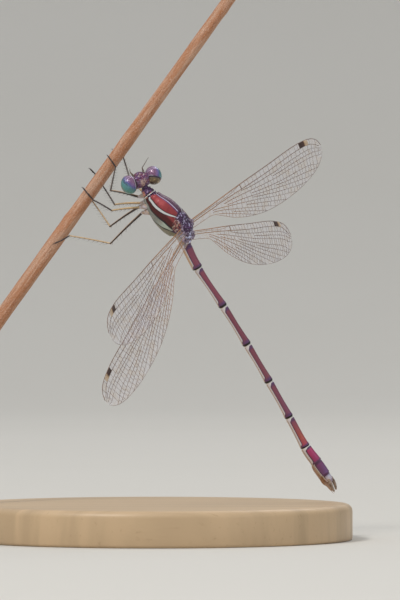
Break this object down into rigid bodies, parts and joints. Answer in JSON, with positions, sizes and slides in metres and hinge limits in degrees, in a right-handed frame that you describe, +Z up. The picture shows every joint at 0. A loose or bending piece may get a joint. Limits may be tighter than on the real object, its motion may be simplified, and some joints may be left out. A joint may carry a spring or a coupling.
{
  "type": "damselfly model",
  "caption": "Life-size damselfly gripping a slanting length of grass stem, wings half open, on a round base with a rod.",
  "frame": {"origin": "centre of the round base's underside", "axes": "+Z up; -Y is the side the insect is best seen from; the head points to -X and up, the tail to +X and down"},
  "size_m": [0.044, 0.044, 0.0625],
  "materials": {
    "body": "metallic purple and copper shell",
    "eyes": "glossy, purple above and turquoise below",
    "wings": "clear membrane with brown veins",
    "legs": "dark brown shell, pale on the hind shins",
    "pale_parts": "pale tan shell",
    "stem": "dry fibrous stalk, orange brown",
    "base": "satin pale wood",
    "rod": "brushed"
  },
  "bodies": {
    "root": {"abdomen_01": "body", "abdomen_02": "body", "abdomen_03": "body", "abdomen_04": "body", "abdomen_05": "body", "abdomen_06": "body", "abdomen_07": "body", "abdomen_08": "body", "abdomen_09": "body", "abdomen_10": "body", "antenna_left": "legs", "antenna_right": "legs", "cercus_left": "body", "cercus_right": "body", "eye_left": "eyes", "eye_right": "eyes", "forewing_left": "wings", "forewing_right": "wings", "head": "body", "hindwing_left": "wings", "hindwing_right": "wings", "leg_fore_left_coxa": "legs", "leg_fore_left_femur": "legs", "leg_fore_left_tarsus": "legs", "leg_fore_left_tibia": "legs", "leg_fore_right_coxa": "legs", "leg_fore_right_femur": "legs", "leg_fore_right_tarsus": "legs", "leg_fore_right_tibia": "legs", "leg_hind_left_coxa": "legs", "leg_hind_left_femur": "legs", "leg_hind_left_tarsus": "legs", "leg_hind_left_tibia": "legs", "leg_hind_right_coxa": "legs", "leg_hind_right_femur": "legs", "leg_hind_right_tarsus": "legs", "leg_hind_right_tibia": "legs", "leg_middle_left_coxa": "legs", "leg_middle_left_femur": "legs", "leg_middle_left_tarsus": "legs", "leg_middle_left_tibia": "legs", "leg_middle_right_coxa": "legs", "leg_middle_right_femur": "legs", "leg_middle_right_tarsus": "legs", "leg_middle_right_tibia": "legs", "mouthparts": "pale_parts", "ovipositor": "pale_parts", "perch_stem": "stem", "prothorax": "body", "pterothorax": "body", "stand_base": "base", "stand_rod": "rod"}
  },
  "joints": []
}
